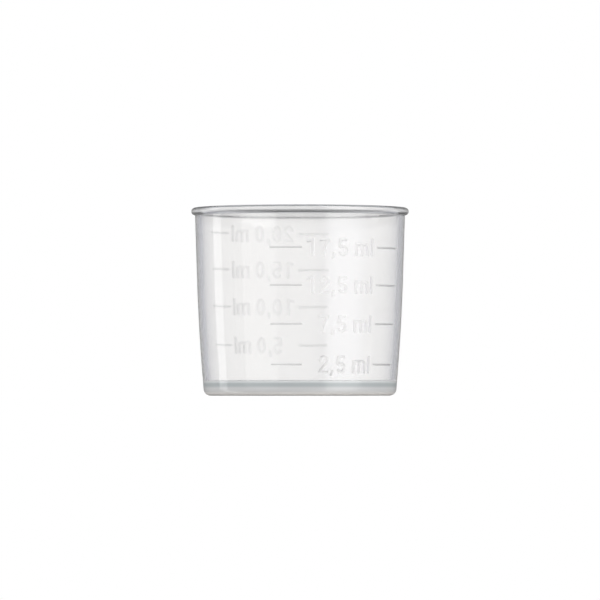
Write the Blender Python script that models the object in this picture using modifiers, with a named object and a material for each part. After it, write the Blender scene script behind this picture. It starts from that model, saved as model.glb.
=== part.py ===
"""A 20 ml measuring cup for liquid medicine, injection moulded in one piece from natural polypropylene.

All sizes are in metres and all angles in degrees. The origin is the middle of the base, with +Z up,
and the scale for 2.5, 7.5, 12.5 and 17.5 ml faces -Y. The other scale faces +Y.
"""

import math

import bmesh
import bpy
from mathutils import Matrix, Vector

# Wall: two straight drafts joined by a long curve
HEIGHT = 0.0311
BASE_DIAMETER = 0.03175  # where the outer wall would meet the table with a sharp corner
WALL = 0.0010
LOWER_DRAFT = 4.4
UPPER_DRAFT = 1.8
BEND_BOTTOM = 0.0053  # the wall curves between these two heights
BEND_TOP = 0.0192

# Rim: a half-round bead outside, a rounded lip inside
RIM_OVERHANG = 0.00059  # from the wall to the outside of the bead
BEAD_RADIUS = 0.0006
BEAD_FILLET = 0.00015
LIP_RADIUS = 0.0005

# Base: a foot ring round a shallow recess, with the gate's mark in its middle
FLOOR = 0.0011
INNER_CORNER = 0.0010
OUTER_CORNER = 0.0012
FOOT_WIDTH = 0.0014
RECESS_DEPTH = 0.0005
RECESS_SLOPE = 45.0
RECESS_FILLET = 0.0003
GATE_DIAMETER = 0.0016
GATE_TIP_DIAMETER = 0.0012
GATE_HEIGHT = 0.0002

# Graduations: a long line, a space for the numerals and a short line, raised from the wall
FRONT_MILLILITRES = (2.5, 7.5, 12.5, 17.5)
BACK_MILLILITRES = (5.0, 10.0, 15.0, 20.0)
LONG_LINE_START = -16.8
LONG_LINE_SWEEP = 17.9
SHORT_LINE_START = 47.0
SHORT_LINE_SWEEP = 18.5
LINE_THICKNESS = 0.00030
LINE_CREST = 0.00014
LINE_RELIEF = 0.00012
LINE_ROOT = 0.00030  # how deep a line's own solid reaches into the wall

# Fineness of the curves
RING_STEPS = 88
BEND_STEPS = 4
ARC_STEP = 20.0
LINE_STEP = 4.0

LOWER_SLOPE = math.tan(math.radians(LOWER_DRAFT))
UPPER_SLOPE = math.tan(math.radians(UPPER_DRAFT))
CUBIC_METRES_PER_MILLILITRE = 1e-6
MERGE_DISTANCE = 1e-6
SHARP_ANGLE = 35.0


def clear_scene():
    for obj in list(bpy.data.objects):
        bpy.data.objects.remove(obj)


def collection_named(name):
    collection = bpy.data.collections.new(name)
    bpy.context.scene.collection.children.link(collection)
    return collection


def natural_polypropylene():
    """Milky, see-through plastic with the soft gloss of a polished mould."""
    material = bpy.data.materials.new("natural_polypropylene")
    material.use_nodes = True
    shader = material.node_tree.nodes["Principled BSDF"]
    shader.inputs["Base Color"].default_value = (0.93, 0.93, 0.92, 1.0)
    shader.inputs["Metallic"].default_value = 0.0
    shader.inputs["Roughness"].default_value = 0.2
    shader.inputs["IOR"].default_value = 1.49
    shader.inputs["Transmission Weight"].default_value = 0.8
    return material


def bend_share(z):
    """How much of the wall's curve lies below this height: 0 under it, 1 above it."""
    return min(max((z - BEND_BOTTOM) / (BEND_TOP - BEND_BOTTOM), 0.0), 1.0)


def wall_slope(z):
    """Radius gained for each unit of height, which changes evenly along the curve."""
    return LOWER_SLOPE + (UPPER_SLOPE - LOWER_SLOPE) * bend_share(z)


def outer_radius(z):
    """The outer wall: the lower draft, less what the curve and the steeper part above it turn in."""
    curved = bend_share(z) ** 2 * (BEND_TOP - BEND_BOTTOM) / 2
    turned = curved + max(z - BEND_TOP, 0.0)
    return BASE_DIAMETER / 2 + LOWER_SLOPE * z + (UPPER_SLOPE - LOWER_SLOPE) * turned


def inner_radius(z):
    """The inner wall, at the wall's thickness square to the outer one."""
    return outer_radius(z) - WALL * math.hypot(1.0, wall_slope(z))


def arc(centre, radius, start, end):
    """Points round a centre from one angle to another, in radians."""
    steps = max(2, math.ceil(abs(end - start) / math.radians(ARC_STEP)))
    angles = [start + (end - start) * i / steps for i in range(steps + 1)]
    return [centre + radius * Vector((math.cos(a), math.sin(a))) for a in angles]


def fillet(corner, back, ahead, radius):
    """The arc that rounds a corner, given the directions from it back and ahead along the outline."""
    corner, back, ahead = Vector(corner), Vector(back).normalized(), Vector(ahead).normalized()
    half = back.angle(ahead) / 2
    centre = corner + (back + ahead).normalized() * radius / math.sin(half)
    first = corner + back * radius / math.tan(half) - centre
    last = corner + ahead * radius / math.tan(half) - centre
    start = math.atan2(first.y, first.x)
    turn = math.atan2(first.cross(last), first.dot(last))
    return arc(centre, radius, start, start + turn)


def bend_heights(low, high):
    """Heights of the points on the wall's curve, as far as they lie between two limits."""
    heights = [BEND_BOTTOM + (BEND_TOP - BEND_BOTTOM) * i / BEND_STEPS for i in range(BEND_STEPS + 1)]
    return [z for z in heights if low < z < high]


def floor_height():
    return RECESS_DEPTH + FLOOR


def inner_profile():
    """From the middle of the floor, out and up the inner wall, to the lip."""
    corner = fillet(
        (inner_radius(floor_height()), floor_height()), (-1, 0), (wall_slope(floor_height()), 1), INNER_CORNER
    )
    lip = fillet((inner_radius(HEIGHT), HEIGHT), (-wall_slope(HEIGHT), -1), (1, 0), LIP_RADIUS)
    wall = [Vector((inner_radius(z), z)) for z in bend_heights(corner[-1].y, lip[0].y)]
    return [Vector((0, floor_height()))] + corner + wall + lip


def rim_profile():
    """Round the bead from its top, and by a hollow fillet down to the outer wall."""
    bead = Vector((outer_radius(HEIGHT) + RIM_OVERHANG - BEAD_RADIUS, HEIGHT - BEAD_RADIUS))
    along = Vector((wall_slope(HEIGHT), 1)).normalized()
    inward = Vector((-along.y, along.x))
    # The fillet's centre is on a line beside the wall, at the distance where both circles touch.
    beside = Vector((outer_radius(HEIGHT), HEIGHT)) - inward * BEAD_FILLET - bead
    reach = BEAD_RADIUS + BEAD_FILLET
    down = beside.dot(along) + math.sqrt(beside.dot(along) ** 2 - beside.dot(beside) + reach**2)
    from_bead = beside - along * down
    touch = math.atan2(from_bead.y, from_bead.x)
    hollow = arc(bead + from_bead, BEAD_FILLET, touch + math.pi, math.atan2(inward.y, inward.x))
    return arc(bead, BEAD_RADIUS, math.pi / 2, touch) + hollow[1:]


def base_profile():
    """Round the outer corner, in along the foot ring, up into the recess, and to the gate's mark."""
    corner = fillet((BASE_DIAMETER / 2, 0), (wall_slope(0), 1), (-1, 0), OUTER_CORNER)
    slope = Vector((-1 / math.tan(math.radians(RECESS_SLOPE)), 1))
    foot = Vector((corner[-1].x - FOOT_WIDTH, 0))
    step = fillet(foot, (1, 0), slope, RECESS_FILLET)
    step += fillet(foot + slope * RECESS_DEPTH, -slope, (-1, 0), RECESS_FILLET)
    gate = [
        Vector((GATE_DIAMETER / 2, RECESS_DEPTH)),
        Vector((GATE_TIP_DIAMETER / 2, RECESS_DEPTH - GATE_HEIGHT)),
        Vector((0, RECESS_DEPTH - GATE_HEIGHT)),
    ]
    return corner + step + gate


def cup_profile():
    """Half of the cup's section, from the middle of the floor over the rim to the middle of the base."""
    rim, base = rim_profile(), base_profile()
    wall = [Vector((outer_radius(z), z)) for z in bend_heights(base[0].y, rim[-1].y)]
    return inner_profile() + rim + wall[::-1] + base


def volume_below(height):
    """What the cup holds up to a height: the cones between the inner outline's points."""
    outline = inner_profile()
    volume = 0.0
    for low, high in zip(outline, outline[1:]):
        top = min(high.y, height)
        if top <= low.y:
            continue
        radius = low.x + (high.x - low.x) * (top - low.y) / (high.y - low.y)
        volume += math.pi / 3 * (top - low.y) * (low.x**2 + low.x * radius + radius**2)
    return volume


def fill_height(millilitres):
    """The level of a filling, found by halving the height between the floor and the brim."""
    low, high = floor_height(), HEIGHT
    while high - low > MERGE_DISTANCE:
        middle = (low + high) / 2
        if volume_below(middle) < millilitres * CUBIC_METRES_PER_MILLILITRE:
            low = middle
        else:
            high = middle
    return (low + high) / 2


def revolved(name, profile, collection):
    """A turned solid from a profile of radius and height."""
    mesh = bpy.data.meshes.new(name)
    edges = [(i, i + 1) for i in range(len(profile) - 1)]
    mesh.from_pydata([(point.x, 0, point.y) for point in profile], edges, [])
    obj = bpy.data.objects.new(name, mesh)
    collection.objects.link(obj)
    screw = obj.modifiers.new("turn", "SCREW")
    screw.steps = screw.render_steps = RING_STEPS
    screw.use_merge_vertices = True
    screw.merge_threshold = MERGE_DISTANCE
    screw.use_smooth_shade = True
    return obj


def add_line(lines, height, start, sweep):
    """One raised line: its section, swept round the axis from an angle to the right of the view along +Y."""
    wall = outer_radius(height)
    half = LINE_THICKNESS / 2
    side = [(wall - LINE_ROOT, half), (wall, half), (wall + LINE_RELIEF, LINE_CREST / 2)]
    section = side + [(radius, -z) for radius, z in reversed(side)]
    turn = Matrix.Rotation(math.radians(start - 90), 4, "Z")
    corners = [lines.verts.new(turn @ Vector((radius, 0, height + z))) for radius, z in section]
    face = lines.faces.new(corners)
    bmesh.ops.spin(
        lines,
        geom=[face, *face.edges, *face.verts],
        axis=(0, 0, 1),
        angle=math.radians(sweep),
        steps=max(2, math.ceil(sweep / LINE_STEP)),
    )


def graduation_lines(collection):
    """Both scales. A mark that would reach the rim's fillet has no place on the wall."""
    lines = bmesh.new()
    for millilitres, facing in [(m, 0) for m in FRONT_MILLILITRES] + [(m, 180) for m in BACK_MILLILITRES]:
        height = fill_height(millilitres)
        if height + LINE_THICKNESS > rim_profile()[-1].y:
            continue
        add_line(lines, height, facing + LONG_LINE_START, LONG_LINE_SWEEP)
        add_line(lines, height, facing + SHORT_LINE_START, SHORT_LINE_SWEEP)
    bmesh.ops.recalc_face_normals(lines, faces=lines.faces)
    mesh = bpy.data.meshes.new("graduation_lines")
    lines.to_mesh(mesh)
    lines.free()
    obj = bpy.data.objects.new("graduation_lines", mesh)
    obj.hide_render = True
    obj.display_type = "WIRE"
    collection.objects.link(obj)
    return obj


def join(body, other):
    union = body.modifiers.new(f"join {other.name}", "BOOLEAN")
    union.operation = "UNION"
    union.solver = "EXACT"
    union.object = other


def settle(obj):
    """Makes the modifiers' result the object's own mesh, smooth except at its real edges."""
    evaluated = obj.evaluated_get(bpy.context.evaluated_depsgraph_get())
    obj.data = bpy.data.meshes.new_from_object(evaluated)
    obj.data.name = obj.name
    obj.modifiers.clear()
    obj.data.shade_smooth()
    obj.data.set_sharp_from_angle(angle=math.radians(SHARP_ANGLE))


def measuring_cup():
    parts, helpers = collection_named("measuring_cup"), collection_named("helpers")
    cup = revolved("measuring_cup", cup_profile(), parts)
    cup.data.materials.append(natural_polypropylene())
    join(cup, graduation_lines(helpers))
    settle(cup)
    return cup


clear_scene()
measuring_cup()
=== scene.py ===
"""The looks of a 20 ml measuring cup, moulded in one piece from natural polypropylene.

Metres and degrees, in the frame's own axes: +Z up, and the 2.5 to 17.5 ml scale faces -Y. The moulding
here has the solid's outline in fine steps, with the scales' raised numerals as part of its wall.
"""

import math

import bmesh
import bpy
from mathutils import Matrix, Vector


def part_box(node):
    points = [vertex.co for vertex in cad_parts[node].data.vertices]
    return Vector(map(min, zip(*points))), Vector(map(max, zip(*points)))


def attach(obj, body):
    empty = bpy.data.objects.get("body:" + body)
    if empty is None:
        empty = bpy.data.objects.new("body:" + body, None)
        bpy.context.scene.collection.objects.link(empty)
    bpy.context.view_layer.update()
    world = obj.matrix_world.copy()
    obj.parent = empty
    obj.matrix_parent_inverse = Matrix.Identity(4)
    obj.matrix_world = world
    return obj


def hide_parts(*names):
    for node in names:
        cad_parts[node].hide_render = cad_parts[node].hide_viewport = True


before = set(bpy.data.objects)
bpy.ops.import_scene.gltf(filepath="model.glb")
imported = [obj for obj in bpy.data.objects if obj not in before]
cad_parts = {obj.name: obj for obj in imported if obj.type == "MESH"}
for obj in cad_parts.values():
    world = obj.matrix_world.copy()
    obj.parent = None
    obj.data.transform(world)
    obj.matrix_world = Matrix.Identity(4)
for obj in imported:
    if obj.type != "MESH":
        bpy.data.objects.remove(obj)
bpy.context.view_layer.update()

CUP_NODE = "measuring_cup"
SLOT = "natural_polypropylene"

# Wall: two straight drafts joined by a long curve
BASE_DIAMETER = 0.03175
WALL = 0.0010
LOWER_DRAFT = 4.4
UPPER_DRAFT = 1.8
BEND_BOTTOM = 0.0053
BEND_TOP = 0.0192

# Rim and base
RIM_OVERHANG = 0.00059
BEAD_RADIUS = 0.0006
BEAD_FILLET = 0.00015
LIP_RADIUS = 0.0005
FLOOR = 0.0011
INNER_CORNER = 0.0010
OUTER_CORNER = 0.0012
FOOT_WIDTH = 0.0014
RECESS_DEPTH = 0.0005
RECESS_SLOPE = 45.0
RECESS_FILLET = 0.0003
GATE_DIAMETER = 0.0016
GATE_TIP_DIAMETER = 0.0012
GATE_HEIGHT = 0.0002

# Scales: each mark is a long line, numerals and a short line, raised from the wall
FRONT_MARKS = {2.5: "2,5 ml", 7.5: "7,5 ml", 12.5: "12,5 ml", 17.5: "17,5 ml"}
BACK_MARKS = {5.0: "5,0 ml", 10.0: "10,0 ml", 15.0: "15,0 ml", 20.0: "20,0 ml"}
LONG_LINE_START = -16.8
LONG_LINE_SWEEP = 17.9
SHORT_LINE_START = 47.0
SHORT_LINE_SWEEP = 18.5
NUMERALS_END = 44.1
LINE_SECTION = ((0.00013, 0.0), (0.00008, 0.00008))
STROKE_SECTION = ((0.00024, 0.0), (0.00015, 0.00004), (0.00005, 0.00006))
ROOT = 0.00030
NUMERAL_HEIGHT = 0.00285
NUMERAL_SWEEP = 9.72
UPRIGHT_WEIGHT = 1.24

# Fineness of the curves
RING_STEPS = 256
BEND_STEPS = 12
END_RING = 0.00005
ARC_STEP = 7.5
RELIEF_STEP = 2.0
SHARP_ANGLE = 35.0
FULLY_RAISED = 0.00002
PART_OF_MARK = 0.1
SAME_POINT = 1e-9
SHARPEST_CORNER = 0.4

LOWER_SLOPE = math.tan(math.radians(LOWER_DRAFT))
UPPER_SLOPE = math.tan(math.radians(UPPER_DRAFT))
CUBIC_METRES_PER_MILLILITRE = 1e-6
MERGE_DISTANCE = 1e-6

# Plastic: how much light goes on through its surface rather than being scattered there
WALL_CLEARNESS = 0.96
RIM_CLEARNESS = 0.68
CREST_CLEARNESS = 0.92
BASE_CLEARNESS = 0.2
CLOUDING = 0.02
CLOUD_SIZE = 0.004
MARK_MILK = 0.06
REFRACTION = 1.49
ABSORPTION = (0.0, 0.04, 0.06, 1.0)
ABSORPTION_DENSITY = 16.0

# Plastic: colours, some of them painted shade and painted light, and gloss with its fine upright polishing
# lines
WALL_COLOUR = (0.985, 0.98, 0.975, 1.0)
# A slightly greyer band under the rim.
UNDER_RIM_GREY = (0.95, 0.945, 0.94, 1.0)
# Painted shade: the crest's darker grey stands in for the dark line along the rim's top edge.
CREST_PAINTED_SHADE = (0.60, 0.63, 0.65, 1.0)
EDGE_COLOUR = (0.95, 0.955, 0.96, 1.0)
# Painted shade: the corner's dark teal grey stands in for the dark band seen through the thick inner
# corner.
CORNER_PAINTED_SHADE = (0.52, 0.56, 0.57, 1.0)
# Painted shade: the thick base's grey stands in for light lost in its milky section.
BASE_SHADE_GREY = (0.72, 0.725, 0.73, 1.0)
# Painted light: the lighter, warm foot stands in for light passing through the base to its bottom edge.
FOOT_PAINTED_LIGHT = (0.98, 0.95, 0.92, 1.0)
FINE_ROUGHNESS = 0.055
COARSE_ROUGHNESS = 0.075
MARK_ROUGHNESS = 0.42
UNDERSIDE_ROUGHNESS = 0.3
POLISH_LINE = 0.0006
POLISH_LENGTH = 0.012
POLISH_CONTRAST = (0.3, 0.7)
NOISE_DETAIL = 2.0

# Plastic: where its looks change, as pairs of heights, and for the corner's painted shade of radii too
FLOOR_TOP = RECESS_DEPTH + FLOOR
UNDERSIDE_END = (RECESS_DEPTH, RECESS_DEPTH + 0.0002)
FOOT_LIGHT_END = (0.0002, 0.001)
CORNER_SHADE_START = (FLOOR_TOP - 0.0004, FLOOR_TOP + 0.0001)
CORNER_SHADE_END = (FLOOR_TOP + 0.0003, FLOOR_TOP + 0.0010)
CORNER_SHADE_RADII = (0.0141, 0.0145)
BASE_END = (FLOOR_TOP + 0.00065, FLOOR_TOP + 0.00105)

# The same, measured down from the top
GREY_BAND_START = (0.0037, 0.0022)
GREY_BAND_END = (0.0014, 0.0010)
BEAD_START = (1.9 * BEAD_RADIUS, 1.2 * BEAD_RADIUS)
CREST_START = (0.9 * BEAD_RADIUS, 0.3 * BEAD_RADIUS)
CREST_SHADE_START = (0.65 * BEAD_RADIUS, 0.3 * BEAD_RADIUS)

# Camera
CAMERA_DISTANCE = 0.92
CAMERA_HEIGHT = 0.0002
SENSOR_WIDTH = 0.036
FIELD_WIDTH = 0.0993
PITCH = 0.975
CLIP = (0.01, 20)

# Backdrop, as clear plastic shows it: levels of light at angles from its middle to either side, smooth
# in between. Just to the right of the middle it is a little dimmer.
BACKDROP_LIGHT = 1.1
BACKDROP_ACROSS = (
    (6, 0.93), (10, 0.89), (16, 0.82), (21, 0.64), (34, 0.64),
    (46, 0.76), (60, 0.8), (120, 0.92), (150, 0.85),
)
RIGHT_SIDE = 0.91
RIGHT_SIDE_START = (0.5, 1.0)
RIGHT_SIDE_END = (3.0, 3.8)

# Darker zones above and below it: levels at elevations, and how strong each is at angles to either side.
# Light that passed one wall shows the first zone, and light that passed both walls the other two.
THROUGH_BOTH_WALLS = 2.5
ONCE_ABOVE = ((-1, 1.0), (2, 0.9), (5, 0.78), (11, 0.28), (20, 0.06), (60, 0.06), (75, 0.6))
ONCE_EDGE = ((6, 1.0), (14, 0.0))
TWICE_ABOVE = ((22, 1.0), (28, 0.15), (40, 0.15), (50, 0.8))
TWICE_ABOVE_EDGE = ((1.0, 1.0), (1.9, 0.35), (3.4, 0.4), (5.0, 0.9), (9, 1.0), (24, 0.0))
TWICE_BELOW = ((-36, 0.95), (-31, 0.32), (-20, 0.32), (-15, 1.0))
TWICE_BELOW_EDGE = ((9, 1.0), (24, 0.0))

# Room that gloss mirrors: levels at bearings from the backdrop's middle, with a window on the right, and
# the share that is left well below the horizon
GLOSS_LIGHT = 4.0
GLOSS_ACROSS = (
    (-180, 0.45), (-80, 0.4), (-56, 0.38), (-30, 0.25), (30, 0.25), (56, 0.38), (80, 0.4), (98, 1.2),
    (107, 2.6), (115, 3.5), (122, 3.8), (139, 3.8), (146, 3.0), (155, 0.45), (180, 0.45),
)
GLOSS_FADE = (-50, -25)
GLOSS_BELOW = 0.25

# Colour of that light, bluish where it is dim, and the even light on what is matt
COOL_LIGHT = 0.6
WARM_LIGHT = 0.95
ROOM_COLOUR = (0.92, 0.93, 1.0, 1.0)
WHITE = (1.0, 1.0, 1.0, 1.0)
EVEN_LIGHT = 0.7

# Floor
FLOOR_RADIUS = 0.13
FLOOR_SEGMENTS = 96
FLOOR_COLOUR = (0.88, 0.88, 0.88, 1.0)
FLOOR_ROUGHNESS = 0.9
FLOOR_GLOW = 0.45
SHADOW_REACH = 0.04

# Lamps: azimuths from the front, -Y, to the right, then light, lowest point and whether gloss mirrors it
SOFTBOXES = {
    "strip_left": (-110, -96, 1.75, -0.6, True),
    "softbox_left": (-66, -26, 0.8, -0.3, True),
    "softbox_right": (29, 78, 1.2, -0.3, False),
}
SOFTBOX_TOP = 0.5
SOFTBOX_DISTANCE = 0.6
TOP_LIGHT = 1.5
TOP_LIGHT_SIZE = 0.8
TOP_LIGHT_HEIGHT = 0.9


def bend_share(z):
    """How much of the wall's curve lies below this height: 0 under it, 1 above it."""
    return min(max((z - BEND_BOTTOM) / (BEND_TOP - BEND_BOTTOM), 0.0), 1.0)


def wall_slope(z):
    return LOWER_SLOPE + (UPPER_SLOPE - LOWER_SLOPE) * bend_share(z)


def outer_radius(z):
    curved = bend_share(z) ** 2 * (BEND_TOP - BEND_BOTTOM) / 2
    turned = curved + max(z - BEND_TOP, 0.0)
    return BASE_DIAMETER / 2 + LOWER_SLOPE * z + (UPPER_SLOPE - LOWER_SLOPE) * turned


def inner_radius(z):
    return outer_radius(z) - WALL * math.hypot(1.0, wall_slope(z))


def arc(centre, radius, start, end):
    """Points round a centre from one angle to another, in radians."""
    steps = max(2, math.ceil(abs(end - start) / math.radians(ARC_STEP)))
    angles = [start + (end - start) * i / steps for i in range(steps + 1)]
    return [centre + radius * Vector((math.cos(a), math.sin(a))) for a in angles]


def fillet(corner, back, ahead, radius):
    """The arc that rounds a corner, given the directions from it back and ahead along the outline."""
    corner, back, ahead = Vector(corner), Vector(back).normalized(), Vector(ahead).normalized()
    half = back.angle(ahead) / 2
    centre = corner + (back + ahead).normalized() * radius / math.sin(half)
    first = corner + back * radius / math.tan(half) - centre
    last = corner + ahead * radius / math.tan(half) - centre
    start = math.atan2(first.y, first.x)
    turn = math.atan2(first.cross(last), first.dot(last))
    return arc(centre, radius, start, start + turn)


def wall_heights(low, high):
    """Heights of the wall's rings: its bend, and one near either end that keeps the shading straight."""
    bend = [BEND_BOTTOM + (BEND_TOP - BEND_BOTTOM) * i / BEND_STEPS for i in range(BEND_STEPS + 1)]
    return [low + END_RING, *bend, high - END_RING]


def inner_profile(height):
    """From the middle of the floor, out and up the inner wall, to the lip."""
    floor = RECESS_DEPTH + FLOOR
    corner = fillet((inner_radius(floor), floor), (-1, 0), (wall_slope(floor), 1), INNER_CORNER)
    lip = fillet((inner_radius(height), height), (-wall_slope(height), -1), (1, 0), LIP_RADIUS)
    wall = [Vector((inner_radius(z), z)) for z in wall_heights(corner[-1].y, lip[0].y)]
    return [Vector((0, floor))] + corner + wall + lip


def rim_profile(height):
    """Round the bead from its top, and by a hollow fillet down to the outer wall."""
    bead = Vector((outer_radius(height) + RIM_OVERHANG - BEAD_RADIUS, height - BEAD_RADIUS))
    along = Vector((wall_slope(height), 1)).normalized()
    inward = Vector((-along.y, along.x))
    # The fillet's centre is on a line beside the wall, at the distance where both circles touch.
    beside = Vector((outer_radius(height), height)) - inward * BEAD_FILLET - bead
    reach = BEAD_RADIUS + BEAD_FILLET
    down = beside.dot(along) + math.sqrt(beside.dot(along) ** 2 - beside.dot(beside) + reach**2)
    from_bead = beside - along * down
    touch = math.atan2(from_bead.y, from_bead.x)
    hollow = arc(bead + from_bead, BEAD_FILLET, touch + math.pi, math.atan2(inward.y, inward.x))
    return arc(bead, BEAD_RADIUS, math.pi / 2, touch) + hollow[1:]


def base_profile():
    """Round the outer corner, in along the foot ring, up into the recess, and to the gate's mark."""
    corner = fillet((BASE_DIAMETER / 2, 0), (wall_slope(0), 1), (-1, 0), OUTER_CORNER)
    slope = Vector((-1 / math.tan(math.radians(RECESS_SLOPE)), 1))
    foot = Vector((corner[-1].x - FOOT_WIDTH, 0))
    step = fillet(foot, (1, 0), slope, RECESS_FILLET)
    step += fillet(foot + slope * RECESS_DEPTH, -slope, (-1, 0), RECESS_FILLET)
    gate = [
        Vector((GATE_DIAMETER / 2, RECESS_DEPTH)),
        Vector((GATE_TIP_DIAMETER / 2, RECESS_DEPTH - GATE_HEIGHT)),
        Vector((0, RECESS_DEPTH - GATE_HEIGHT)),
    ]
    return corner + step + gate


def cup_profile(height):
    rim, base = rim_profile(height), base_profile()
    wall = [Vector((outer_radius(z), z)) for z in wall_heights(base[0].y, rim[-1].y)]
    return inner_profile(height) + rim + wall[::-1] + base


def volume_below(level, height):
    """What the cup holds up to a level: the cones between the inner outline's points."""
    outline = inner_profile(height)
    volume = 0.0
    for low, high in zip(outline, outline[1:]):
        top = min(high.y, level)
        if top <= low.y:
            continue
        radius = low.x + (high.x - low.x) * (top - low.y) / (high.y - low.y)
        volume += math.pi / 3 * (top - low.y) * (low.x**2 + low.x * radius + radius**2)
    return volume


def fill_height(millilitres, height):
    """The level of a filling, found by halving the height between the floor and the brim."""
    low, high = RECESS_DEPTH + FLOOR, height
    while high - low > MERGE_DISTANCE:
        middle = (low + high) / 2
        if volume_below(middle, height) < millilitres * CUBIC_METRES_PER_MILLILITRE:
            low = middle
        else:
            high = middle
    return (low + high) / 2


def bow(centre, radii, start, end, steps=10):
    """Points of an ellipse's arc, in degrees: a numeral's round stretch."""
    angles = [math.radians(start + (end - start) * i / steps) for i in range(steps + 1)]
    return [(centre[0] + radii[0] * math.cos(a), centre[1] + radii[1] * math.sin(a)) for a in angles]


# Each glyph is its width up to the next one and its strokes' middle lines, in heights of a numeral.
TOP_BAR = 0.926
BOTTOM_BAR = 0.074
M_ARCH = bow((0.29, 0.487), (0.198, 0.19), 180, 0)
GLYPHS = {
    "0": (0.725, [bow((0.335, 0.5), (0.205, 0.43), 90, 450, 28)]),
    "1": (0.725, [[(0.37, 0.0), (0.37, 1.0)], [(0.03, 0.84), (0.16, 0.85), (0.28, 0.89), (0.35, 0.96)]]),
    "2": (0.725, [
        bow((0.34, 0.69), (0.215, 0.236), 190, -35) + [(0.13, 0.13)],
        [(0.04, BOTTOM_BAR), (0.63, BOTTOM_BAR)],
    ]),
    "5": (0.725, [
        [(0.12, TOP_BAR), (0.58, TOP_BAR)],
        [(0.175, 0.95), (0.115, 0.50)],
        bow((0.33, 0.315), (0.21, 0.241), 150, -160, 16),
    ]),
    "7": (0.725, [
        [(0.04, TOP_BAR), (0.63, TOP_BAR)],
        [(0.545, 0.90), (0.40, 0.62), (0.31, 0.32), (0.27, 0.0)],
    ]),
    ",": (0.36, [[(0.14, 0.20), (0.14, 0.03), (0.125, -0.05), (0.06, -0.16)]]),
    " ": (0.36, []),
    "m": (1.12, [
        [(0.092, 0.0), (0.092, 0.75)],
        M_ARCH + [(0.488, 0.0)],
        [(x + 0.396, y) for x, y in M_ARCH] + [(0.884, 0.0)],
    ]),
    "l": (0.184, [[(0.092, 0.0), (0.092, 1.0)]]),
}


def side_steps(path):
    """For each point of a path, the step square to it that keeps a stroke's width round the corners."""
    points = [Vector(p) for p in path]
    closed = (points[0] - points[-1]).length < SAME_POINT
    runs = [(b - a).normalized() for a, b in zip(points, points[1:])]
    steps = []
    for i in range(len(points)):
        before = runs[i - 1] if i > 0 or closed else runs[0]
        after = runs[i] if i < len(runs) else runs[0] if closed else runs[-1]
        square = Vector((-before.y - after.y, before.x + after.x)).normalized()
        steps.append(square / max(square.dot(Vector((-before.y, before.x))), SHARPEST_CORNER))
    return points, steps, closed


def add_stroke(relief, path, section, place):
    """A raised stroke: a section with sloping sides, swept along a path on the wall. The section is half
    widths and heights, from its foot to its crest, and place puts each point on the wall."""
    points, steps, closed = side_steps(path)
    rings = []
    for point, step in zip(points, steps):
        corners = [(section[0][0], -ROOT), *section]
        corners += [(-side, depth) for side, depth in reversed(corners)]
        rings.append([relief.verts.new(place(point + step * side, depth)) for side, depth in corners])
    if closed:
        for vertex in rings[-1]:
            relief.verts.remove(vertex)
        rings[-1] = rings[0]
    for ring, following in zip(rings, rings[1:]):
        for i in range(len(ring)):
            j = (i + 1) % len(ring)
            relief.faces.new((ring[i], ring[j], following[j], following[i]))
    if not closed:
        relief.faces.new(rings[0])
        relief.faces.new(rings[-1][::-1])


def on_wall(facing, start, level, across=None, up=1.0):
    """Puts a flat layout on the outer wall: x runs round it from an angle, y up it from a level."""
    degrees = across or math.degrees(1 / outer_radius(level))

    def place(point, depth):
        z = level + point.y * up
        angle = math.radians(facing + start + point.x * degrees)
        radius = outer_radius(z) + depth
        return radius * math.sin(angle), -radius * math.cos(angle), z

    return place


def add_line(relief, facing, start, sweep, level):
    radius = outer_radius(level)
    steps = math.ceil(sweep / RELIEF_STEP)
    path = [(math.radians(sweep) * radius * i / steps, 0) for i in range(steps + 1)]
    add_stroke(relief, path, LINE_SECTION, on_wall(facing, start, level))


def add_numerals(relief, text, facing, level):
    """A mark's numerals. They end at the same angle on every mark, and its line meets their middle."""
    start = NUMERALS_END - sum(GLYPHS[letter][0] for letter in text) * NUMERAL_SWEEP
    foot = level - NUMERAL_HEIGHT / 2
    place = on_wall(facing, start, foot, NUMERAL_SWEEP * UPRIGHT_WEIGHT, NUMERAL_HEIGHT)
    section = [(side / NUMERAL_HEIGHT, depth) for side, depth in STROKE_SECTION]
    along = 0.0
    for letter in text:
        advance, strokes = GLYPHS[letter]
        for path in strokes:
            moved = [((x + along) / UPRIGHT_WEIGHT, y) for x, y in path]
            add_stroke(relief, moved, section, place)
        along += advance


def scales(height):
    """Both scales as closed solids that overlap the wall."""
    relief = bmesh.new()
    for facing, marks in ((0, FRONT_MARKS), (180, BACK_MARKS)):
        for millilitres, text in marks.items():
            level = fill_height(millilitres, height)
            add_line(relief, facing, LONG_LINE_START, LONG_LINE_SWEEP, level)
            add_line(relief, facing, SHORT_LINE_START, SHORT_LINE_SWEEP, level)
            add_numerals(relief, text, facing, level)
    bmesh.ops.triangulate(relief, faces=relief.faces)
    bmesh.ops.recalc_face_normals(relief, faces=relief.faces)
    return mesh_object("scales", relief)


def mesh_object(name, built):
    mesh = bpy.data.meshes.new(name)
    built.to_mesh(mesh)
    built.free()
    obj = bpy.data.objects.new(name, mesh)
    bpy.context.scene.collection.objects.link(obj)
    return obj


def revolved(name, profile):
    mesh = bpy.data.meshes.new(name)
    edges = [(i, i + 1) for i in range(len(profile) - 1)]
    mesh.from_pydata([(point.x, 0, point.y) for point in profile], edges, [])
    obj = bpy.data.objects.new(name, mesh)
    bpy.context.scene.collection.objects.link(obj)
    screw = obj.modifiers.new("turn", "SCREW")
    screw.steps = screw.render_steps = RING_STEPS
    screw.use_merge_vertices = True
    screw.merge_threshold = MERGE_DISTANCE
    return obj


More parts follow.
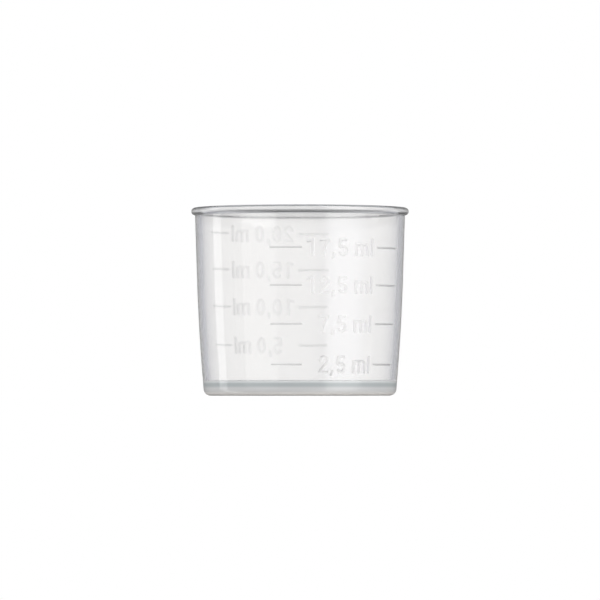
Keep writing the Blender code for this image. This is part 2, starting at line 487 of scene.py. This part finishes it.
def moulding():
    """The whole cup: a turned body with the scales joined to its wall."""
    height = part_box(CUP_NODE)[1].z
    cup = revolved("moulded_cup", cup_profile(height))
    relief = scales(height)
    union = cup.modifiers.new("scales", "BOOLEAN")
    union.operation = "UNION"
    union.solver = "EXACT"
    union.use_self = True
    union.object = relief
    evaluated = cup.evaluated_get(bpy.context.evaluated_depsgraph_get())
    cup.data = bpy.data.meshes.new_from_object(evaluated)
    cup.modifiers.clear()
    bpy.data.objects.remove(relief)
    finish_surface(cup.data, height - 3 * BEAD_RADIUS)
    return cup


def finish_surface(mesh, wall_top):
    """Smooth shading, creased at corners and round the raised marks, which get the value "raised"."""
    mesh.shade_smooth()
    built = bmesh.new()
    built.from_mesh(mesh)
    raised = built.verts.layers.float.new("raised")
    for vertex in built.verts:
        x, y, z = vertex.co
        if z < wall_top:
            vertex[raised] = min(max((math.hypot(x, y) - outer_radius(z)) / FULLY_RAISED, 0.0), 1.0)
    for edge in built.edges:
        first, second = (
            any(corner[raised] > PART_OF_MARK for corner in face.verts) for face in edge.link_faces
        )
        edge.smooth = first == second and edge.calc_face_angle() < math.radians(SHARP_ANGLE)
    built.to_mesh(mesh)
    built.free()


class Graph:
    """A node tree and the kinds of node that the looks need. Each method gives a new node's output."""

    def __init__(self, tree):
        self.nodes = tree.nodes
        self.links = tree.links

    def feed(self, socket, value):
        """Links an output to a socket, or writes a number or a colour into it."""
        if isinstance(value, bpy.types.NodeSocket):
            self.links.new(value, socket)
        else:
            socket.default_value = value

    def maths(self, operation, *values):
        node = self.nodes.new("ShaderNodeMath")
        node.operation = operation
        for socket, value in zip(node.inputs, values):
            self.feed(socket, value)
        return node.outputs[0]

    def plus(self, first, second):
        return self.maths("ADD", first, second)

    def minus(self, first, second):
        return self.maths("SUBTRACT", first, second)

    def times(self, first, second):
        return self.maths("MULTIPLY", first, second)

    def greater(self, first, second):
        return self.maths("MAXIMUM", first, second)

    def smooth_step(self, value, start, end, low, high):
        """A value that goes smoothly from low to high while the given one goes from start to end."""
        node = self.nodes.new("ShaderNodeMapRange")
        node.interpolation_type = "SMOOTHSTEP"
        for name, number in (("From Min", start), ("From Max", end), ("To Min", low), ("To Max", high)):
            node.inputs[name].default_value = number
        self.feed(node.inputs["Value"], value)
        return node.outputs[0]

    def ramp(self, value, stops):
        """A level, smooth between the given ones, for a value between 0 and 1."""
        node = self.nodes.new("ShaderNodeValToRGB")
        node.color_ramp.interpolation = "EASE"
        elements = node.color_ramp.elements
        while len(elements) < len(stops):
            elements.new(1.0)
        for element, (position, level) in zip(elements, stops):
            element.position = position
            element.color = (level, level, level, 1.0)
        self.feed(node.inputs[0], value)
        return node.outputs["Color"]

    def mixed(self, share, first, second):
        """Two colours, mixed by the share of the second."""
        node = self.nodes.new("ShaderNodeMix")
        node.data_type = "RGBA"
        self.feed(node.inputs[0], share)
        for socket, colour in zip(node.inputs[6:8], (first, second)):
            self.feed(socket, colour)
        return node.outputs[2]

    def vector_maths(self, operation, vector, factors):
        node = self.nodes.new("ShaderNodeVectorMath")
        node.operation = operation
        node.inputs[1].default_value = factors
        self.feed(node.inputs[0], vector)
        return node.outputs[0]

    def length(self, vector):
        node = self.nodes.new("ShaderNodeVectorMath")
        node.operation = "LENGTH"
        self.feed(node.inputs[0], vector)
        return node.outputs["Value"]

    def parts(self, vector):
        node = self.nodes.new("ShaderNodeSeparateXYZ")
        self.feed(node.inputs[0], vector)
        return node.outputs

    def noise(self, where, sizes):
        """Soft noise between 0 and 1, with patches of a given size along each axis."""
        node = self.nodes.new("ShaderNodeTexNoise")
        node.inputs["Scale"].default_value = 1.0
        node.inputs["Detail"].default_value = NOISE_DETAIL
        self.feed(node.inputs["Vector"], self.vector_maths("DIVIDE", where, sizes))
        return node.outputs[0]

    def coordinates(self, kind):
        return self.nodes.new("ShaderNodeTexCoord").outputs[kind]

    def raised(self):
        """The marks' own value, 1 on them and 0 elsewhere, which finish_surface gives the mesh."""
        node = self.nodes.new("ShaderNodeAttribute")
        node.attribute_name = "raised"
        return node.outputs["Fac"]


def new_material(name):
    material = bpy.data.materials.new(name)
    material.use_nodes = True
    nodes = material.node_tree.nodes
    return material, Graph(material.node_tree), nodes["Principled BSDF"], nodes["Material Output"]


def below(top, distances):
    """Heights at given distances below the top."""
    return [top - distance for distance in distances]


def plastic_colour(graph, where, level, height):
    """The wall's colour with a greyer band under the rim and painted shade on its crest, and in the thick
    base painted light on its foot, painted shade in its grey middle, darker painted shade in the corner,
    and the corner's edge above."""
    from_axis = graph.length(graph.vector_maths("MULTIPLY", where, (1.0, 1.0, 0.0)))
    # Painted shade in the corner where the wall meets the thick base.
    in_corner_shade = graph.times(
        graph.smooth_step(level, *CORNER_SHADE_START, 0.0, 1.0),
        graph.smooth_step(from_axis, *CORNER_SHADE_RADII, 0.0, 1.0),
    )
    # Painted light on the foot, and painted shade in the base's grey middle.
    base = graph.mixed(graph.smooth_step(level, *FOOT_LIGHT_END, 0.0, 1.0), FOOT_PAINTED_LIGHT, BASE_SHADE_GREY)
    base = graph.mixed(in_corner_shade, base, CORNER_PAINTED_SHADE)
    base = graph.mixed(graph.smooth_step(level, *CORNER_SHADE_END, 0.0, 1.0), base, EDGE_COLOUR)
    # A slightly greyer band under the rim.
    in_grey_band = graph.times(
        graph.smooth_step(level, *below(height, GREY_BAND_START), 0.0, 1.0),
        graph.smooth_step(level, *below(height, GREY_BAND_END), 1.0, 0.0),
    )
    wall = graph.mixed(in_grey_band, WALL_COLOUR, UNDER_RIM_GREY)
    # Painted shade on the rim's crest.
    in_crest_shade = graph.smooth_step(level, *below(height, CREST_SHADE_START), 0.0, 1.0)
    wall = graph.mixed(in_crest_shade, wall, CREST_PAINTED_SHADE)
    return graph.mixed(graph.smooth_step(level, *BASE_END, 1.0, 0.0), wall, base)


def plastic_clearness(graph, where, level, height):
    """Clear, less the milk of the thick base, the bead under its crest, the marks and soft clouds."""
    base = graph.times(graph.smooth_step(level, *BASE_END, 1.0, 0.0), WALL_CLEARNESS - BASE_CLEARNESS)
    bead = graph.smooth_step(level, *below(height, BEAD_START), 0.0, WALL_CLEARNESS - RIM_CLEARNESS)
    crest = graph.smooth_step(level, *below(height, CREST_START), 0.0, CREST_CLEARNESS - RIM_CLEARNESS)
    clouds = graph.times(graph.noise(where, (CLOUD_SIZE,) * 3), CLOUDING)
    milk = graph.plus(clouds, graph.times(graph.raised(), MARK_MILK))
    milk = graph.plus(graph.plus(base, graph.minus(bead, crest)), milk)
    return graph.minus(WALL_CLEARNESS + CLOUDING / 2, milk)


def plastic_roughness(graph, where, level):
    lines = graph.noise(where, (POLISH_LINE, POLISH_LINE, POLISH_LENGTH))
    gloss = graph.smooth_step(lines, *POLISH_CONTRAST, FINE_ROUGHNESS, COARSE_ROUGHNESS)
    gloss = graph.greater(gloss, graph.times(graph.raised(), MARK_ROUGHNESS))
    return graph.greater(gloss, graph.smooth_step(level, *UNDERSIDE_END, UNDERSIDE_ROUGHNESS, 0.0))


def natural_polypropylene():
    """Unpigmented plastic: clear where thin, milky where thick, matt on its marks and underneath."""
    material, graph, shader, output = new_material(SLOT)
    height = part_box(CUP_NODE)[1].z
    where = graph.coordinates("Object")
    level = graph.parts(where)["Z"]
    shader.inputs["IOR"].default_value = REFRACTION
    graph.feed(shader.inputs["Base Color"], plastic_colour(graph, where, level, height))
    graph.feed(shader.inputs["Transmission Weight"], plastic_clearness(graph, where, level, height))
    graph.feed(shader.inputs["Roughness"], plastic_roughness(graph, where, level))
    absorb = graph.nodes.new("ShaderNodeVolumeAbsorption")
    absorb.inputs["Color"].default_value = ABSORPTION
    absorb.inputs["Density"].default_value = ABSORPTION_DENSITY
    graph.feed(output.inputs["Volume"], absorb.outputs[0])
    return material


def elevation_share(degrees):
    """An elevation as a share of the half turn from straight down to straight up."""
    return degrees / 180 + 0.5


def dark_zone(graph, rise, aside, levels, edge):
    """How dark a zone above or below the backdrop is, by elevation and by the angle to either side."""
    darkness = graph.ramp(rise, [(elevation_share(angle), 1.0 - level) for angle, level in levels])
    return graph.times(darkness, graph.ramp(aside, [(angle / 180, level) for angle, level in edge]))


def backdrop(graph, path, bearing, rise):
    """The level of the backdrop and the room round it, as clear plastic shows them."""
    aside = graph.maths("DIVIDE", graph.maths("ABSOLUTE", bearing), math.pi)
    once = dark_zone(graph, rise, aside, ONCE_ABOVE, ONCE_EDGE)
    twice = graph.plus(
        dark_zone(graph, rise, aside, TWICE_ABOVE, TWICE_ABOVE_EDGE),
        dark_zone(graph, rise, aside, TWICE_BELOW, TWICE_BELOW_EDGE),
    )
    both_walls = graph.maths("GREATER_THAN", path["Transmission Depth"], THROUGH_BOTH_WALLS)
    shade = graph.mixed(both_walls, once, twice)
    across = graph.ramp(aside, [(angle / 180, level) for angle, level in BACKDROP_ACROSS])
    right_side = graph.plus(
        graph.smooth_step(bearing, *map(math.radians, RIGHT_SIDE_START), 1.0, RIGHT_SIDE),
        graph.smooth_step(bearing, *map(math.radians, RIGHT_SIDE_END), 0.0, 1.0 - RIGHT_SIDE),
    )
    return graph.times(graph.times(across, graph.minus(1.0, shade)), right_side)


def mirrored_room(graph, bearing, rise):
    """The level of the room in front of the cup and round it, as gloss mirrors it."""
    share = graph.plus(graph.maths("DIVIDE", bearing, math.tau), 0.5)
    stops = [(angle / 360 + 0.5, level / GLOSS_LIGHT) for angle, level in GLOSS_ACROSS]
    level = graph.times(graph.ramp(share, stops), GLOSS_LIGHT)
    return graph.times(level, graph.smooth_step(rise, *map(elevation_share, GLOSS_FADE), GLOSS_BELOW, 1.0))


def studio_world():
    """White where the camera sees it, and even light for what is matt. Clear plastic and gloss see the
    studio: a bright backdrop behind the cup in a dimmer room, as in a bright-field picture."""
    world = bpy.data.worlds.new("studio")
    world.use_nodes = True
    graph = Graph(world.node_tree)
    background = world.node_tree.nodes["Background"]
    path = graph.nodes.new("ShaderNodeLightPath").outputs
    direction = graph.parts(graph.coordinates("Generated"))
    bearing = graph.maths("ARCTAN2", direction["X"], direction["Y"])
    rise = graph.maths("DIVIDE", graph.maths("ARCSINE", direction["Z"]), math.pi)
    rise = graph.plus(rise, 0.5)

    # Light refracted by rough plastic counts as glossy too, so what is mirrored is glossy and not that.
    through = path["Is Transmission Ray"]
    seen = graph.greater(path["Is Glossy Ray"], through)
    clear = backdrop(graph, path, bearing, rise)
    strength = graph.times(graph.minus(1.0, seen), EVEN_LIGHT)
    strength = graph.plus(strength, graph.times(graph.times(clear, BACKDROP_LIGHT), through))
    mirrored = graph.times(mirrored_room(graph, bearing, rise), graph.minus(seen, through))
    strength = graph.plus(strength, mirrored)
    graph.feed(background.inputs["Strength"], graph.greater(strength, path["Is Camera Ray"]))

    warmth = graph.smooth_step(clear, COOL_LIGHT, WARM_LIGHT, 0.0, 1.0)
    warmth = graph.greater(warmth, graph.minus(1.0, through))
    graph.feed(background.inputs["Color"], graph.mixed(warmth, ROOM_COLOUR, WHITE))
    bpy.context.scene.world = world


def floor():
    """A pale round table that keeps the cup's shadow, and fades to the backdrop's white away from it."""
    built = bmesh.new()
    bmesh.ops.create_circle(built, cap_ends=True, segments=FLOOR_SEGMENTS, radius=FLOOR_RADIUS)
    obj = mesh_object("floor", built)
    material, graph, shader, output = new_material("pale_floor")
    shader.inputs["Base Color"].default_value = FLOOR_COLOUR
    shader.inputs["Roughness"].default_value = FLOOR_ROUGHNESS
    distance = graph.length(graph.coordinates("Object"))
    near = graph.smooth_step(distance, BASE_DIAMETER / 2, SHADOW_REACH, 0.0, FLOOR_GLOW)
    far = graph.smooth_step(distance, SHADOW_REACH, FLOOR_RADIUS, 0.0, 1.0 - FLOOR_GLOW)
    path = graph.nodes.new("ShaderNodeLightPath").outputs
    glow = graph.nodes.new("ShaderNodeEmission")
    graph.feed(glow.inputs["Strength"], graph.times(path["Is Camera Ray"], graph.plus(near, far)))
    both = graph.nodes.new("ShaderNodeAddShader")
    graph.feed(both.inputs[0], shader.outputs[0])
    graph.feed(both.inputs[1], glow.outputs[0])
    graph.feed(output.inputs["Surface"], both.outputs[0])
    obj.data.materials.append(material)
    obj.visible_glossy = False
    obj.visible_transmission = False


def add_lamp(name, lamp, mirrored):
    """A lamp that only what is matt shows, and gloss where it is mirrored."""
    obj = bpy.data.objects.new(name, lamp)
    obj.visible_camera = False
    obj.visible_glossy = mirrored
    obj.visible_transmission = False
    bpy.context.scene.collection.objects.link(obj)
    return obj


def softbox(name, start, end, light, bottom, mirrored):
    """An upright lamp that fills the view from the cup between two azimuths, at light times white."""
    lamp = bpy.data.lights.new(name, "AREA")
    lamp.shape = "RECTANGLE"
    lamp.size = 2 * SOFTBOX_DISTANCE * math.tan(math.radians(end - start) / 2)
    lamp.size_y = SOFTBOX_TOP - bottom
    lamp.energy = light * math.pi * lamp.size * lamp.size_y
    azimuth = math.radians(start + end) / 2
    obj = add_lamp(name, lamp, mirrored)
    middle = (SOFTBOX_TOP + bottom) / 2
    obj.location = (SOFTBOX_DISTANCE * math.sin(azimuth), -SOFTBOX_DISTANCE * math.cos(azimuth), middle)
    obj.rotation_euler = (math.radians(90), 0, azimuth)


def top_light():
    lamp = bpy.data.lights.new("top_light", "AREA")
    lamp.shape = "SQUARE"
    lamp.size = TOP_LIGHT_SIZE
    lamp.energy = TOP_LIGHT * math.pi * TOP_LIGHT_SIZE**2
    add_lamp("top_light", lamp, False).location = (0, 0, TOP_LIGHT_HEIGHT)


def lights():
    for name, settings in SOFTBOXES.items():
        softbox(name, *settings)
    top_light()


def camera():
    data = bpy.data.cameras.new("camera")
    data.sensor_width = SENSOR_WIDTH * 1000
    data.lens = SENSOR_WIDTH * 1000 * CAMERA_DISTANCE / FIELD_WIDTH
    data.clip_start, data.clip_end = CLIP
    obj = bpy.data.objects.new("camera", data)
    obj.location = (0, -CAMERA_DISTANCE, CAMERA_HEIGHT)
    obj.rotation_euler = (math.radians(90 + PITCH), 0, 0)
    bpy.context.scene.collection.objects.link(obj)
    bpy.context.scene.camera = obj


bpy.context.scene.view_settings.view_transform = "Standard"

cup = moulding()
cup.data.materials.clear()
cup.data.materials.append(natural_polypropylene())
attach(cup, "root")
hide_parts(CUP_NODE)

floor()
studio_world()
lights()
camera()
